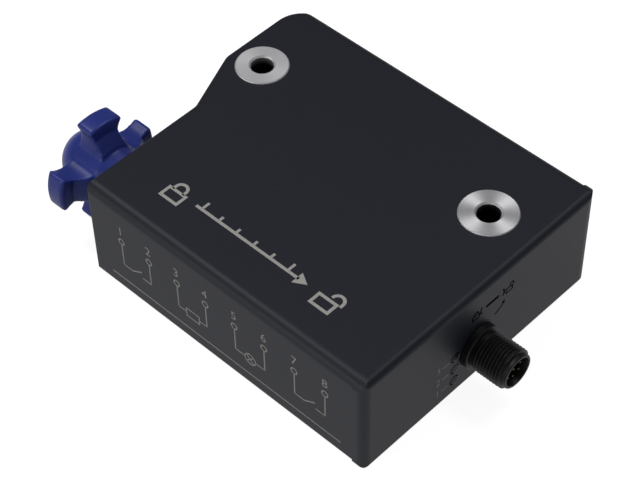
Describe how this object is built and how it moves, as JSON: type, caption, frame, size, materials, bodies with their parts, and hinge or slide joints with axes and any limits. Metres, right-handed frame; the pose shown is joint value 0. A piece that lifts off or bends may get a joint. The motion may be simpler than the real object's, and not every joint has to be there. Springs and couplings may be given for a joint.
{
  "type": "tongue interlock switch",
  "caption": "Guard door interlock switch: flat case with a four-armed locking wheel at one end, two metal fixing bushes, and a round plug, status lights and a manual release at the other.",
  "frame": {"origin": "midway between the axes of the two fixing bores, on the back face that is screwed to the machine", "axes": "+X from the wheel end to the plug end, +Z out of the front face along the fixing bores, +Y towards the long side that carries the bores"},
  "size_m": [0.14, 0.0904, 0.0338],
  "materials": {
    "housing_plastic": "fine matt, glass-filled",
    "cap_plastic": "fine matt, glass-filled",
    "wheel_plastic": "moulded, slightly glossy",
    "turned_steel": "turned",
    "bright_steel": "ground",
    "spring_steel": "drawn wire",
    "yoke_steel": "zinc plated",
    "bronze": "sintered",
    "copper_wire": "enamelled winding",
    "contact_gold": "gold plated",
    "seal_rubber": "moulded",
    "carrier_plastic": "matt",
    "spool_plastic": "matt",
    "board_laminate": "solder mask",
    "component_plastic": "matt",
    "lamp_plastic": "translucent",
    "led_plastic": "clear",
    "connector_plastic": "moulded",
    "insert_plastic": "moulded",
    "release_plastic": "moulded"
  },
  "bodies": {
    "case": {"housing": "housing_plastic", "end_cap": "cap_plastic", "cap_seal": "seal_rubber", "horn_fixing_bush": "turned_steel", "rear_fixing_bush": "turned_steel", "shaft_seal": "seal_rubber", "front_bearing_bush": "bronze", "rear_bearing_bush": "bronze", "reader_coil_former": "spool_plastic", "reader_coil": "copper_wire", "carrier": "carrier_plastic", "detent_spring": "spring_steel", "bolt_return_spring": "spring_steel", "pole_piece": "yoke_steel", "solenoid_yoke": "yoke_steel", "bobbin": "spool_plastic", "solenoid_coil": "copper_wire", "control_board": "board_laminate", "board_components": "component_plastic", "connector_board": "board_laminate", "status_leds": "led_plastic", "light_pipes": "lamp_plastic", "connector_shell": "connector_plastic", "connector_seal": "seal_rubber", "connector_nut": "bright_steel", "contact_insert": "insert_plastic", "contact_pins": "contact_gold"},
    "wheel": {"star_wheel": "wheel_plastic", "star_shaft": "bright_steel", "detent_cam": "bright_steel", "lock_disc": "bright_steel", "cam_spacer": "bright_steel", "disc_spacer": "bright_steel", "retaining_clip": "spring_steel"},
    "detent": {"detent_slide": "bright_steel", "detent_roller": "bright_steel", "roller_pin": "bright_steel"},
    "bolt": {"locking_bolt": "bright_steel", "plunger": "bright_steel"},
    "release": {"release_spindle": "release_plastic", "release_seal": "seal_rubber"},
    "link": {"release_link": "yoke_steel"}
  },
  "joints": [
    {"name": "star_turn", "type": "hinge", "parent": "case", "child": "wheel", "pos_m": [-0.04328, -0.04675, 0.01695], "axis": [1, 0, 0], "continuous": true},
    {"name": "detent_slide", "type": "slide", "parent": "case", "child": "detent", "axis": [0, -1, 0], "range_m": [0, 0.002], "stiffness_N_per_m": 1500, "springref_m": 0.004, "deforming": ["detent_spring"]},
    {"name": "locking_bolt", "type": "slide", "parent": "case", "child": "bolt", "axis": [0, -1, 0], "range_m": [0, 0.0045], "stiffness_N_per_m": 600, "springref_m": -0.003, "deforming": ["bolt_return_spring"]},
    {"name": "manual_release", "type": "hinge", "parent": "case", "child": "release", "pos_m": [0.04673, -0.01635, 0.0247], "axis": [1, 0, 0], "range_deg": [0, 180]},
    {"name": "release_link", "type": "slide", "parent": "case", "child": "link", "axis": [0, 1, 0], "range_m": [0, 0.0046]}
  ],
  "couplings": [
    {"joint": "manual_release", "follows": "release_link", "rad_per_m": 682.95}
  ]
}
